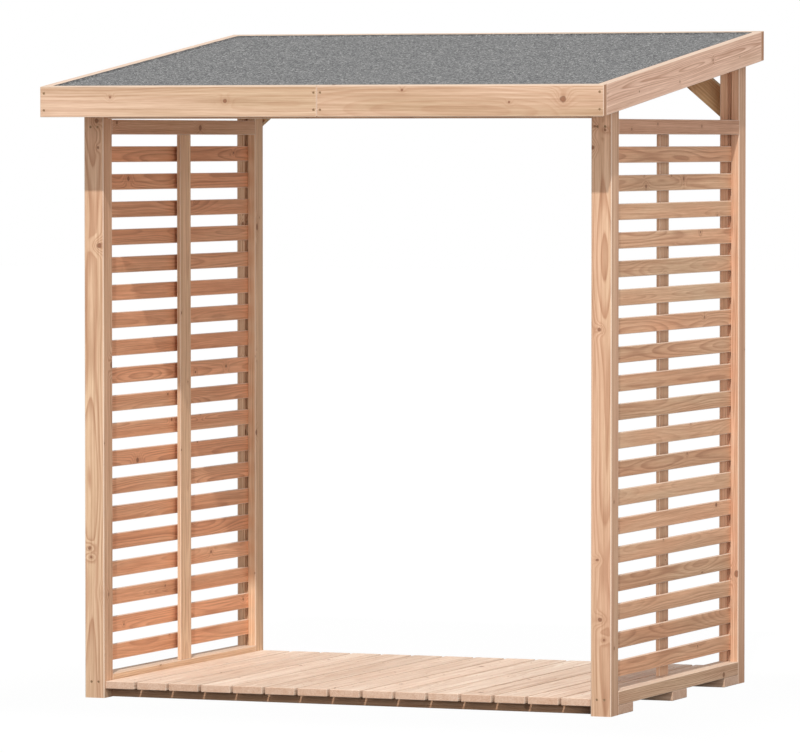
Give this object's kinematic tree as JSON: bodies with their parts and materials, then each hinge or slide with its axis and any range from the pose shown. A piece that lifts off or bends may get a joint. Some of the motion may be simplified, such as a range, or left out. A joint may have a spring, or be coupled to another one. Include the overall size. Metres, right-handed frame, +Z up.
{
  "type": "log store",
  "caption": "Open-fronted timber log store with a felted pent roof, slatted side panels housed in grooved posts, and a boarded floor on flat joists.",
  "frame": {"origin": "on the ground, under the middle of the roof's outline", "axes": "+X to the right seen from the open front, -Y out of the front under the low edge of the roof, +Z up"},
  "size_m": [1.911, 1.558, 2.1608],
  "materials": {
    "frame_timber": "planed, untreated",
    "trim_timber": "planed, untreated",
    "slat_timber": "planed, untreated",
    "floor_timber": "planed, untreated",
    "sheathing_timber": "planed, untreated",
    "roof_felt": "mineral granules, matt"
  },
  "bodies": {
    "root": {"centre_rafter": "frame_timber", "floor_boards": "floor_timber", "front_beam": "frame_timber", "front_fascia_left": "trim_timber", "front_fascia_right": "trim_timber", "front_joist": "floor_timber", "front_left_post": "frame_timber", "front_right_post": "frame_timber", "left_barge_board": "trim_timber", "left_bottom_rail": "frame_timber", "left_middle_stile": "frame_timber", "left_rafter": "frame_timber", "left_slats": "slat_timber", "left_top_rail": "frame_timber", "middle_joist": "floor_timber", "rear_beam": "frame_timber", "rear_fascia_left": "trim_timber", "rear_fascia_right": "trim_timber", "rear_joist": "floor_timber", "rear_left_brace": "frame_timber", "rear_left_post": "frame_timber", "rear_right_brace": "frame_timber", "rear_right_post": "frame_timber", "right_barge_board": "trim_timber", "right_bottom_rail": "frame_timber", "right_middle_stile": "frame_timber", "right_rafter": "frame_timber", "right_slats": "slat_timber", "right_top_rail": "frame_timber", "roof_boards": "sheathing_timber", "roof_felt": "roof_felt"}
  },
  "joints": []
}
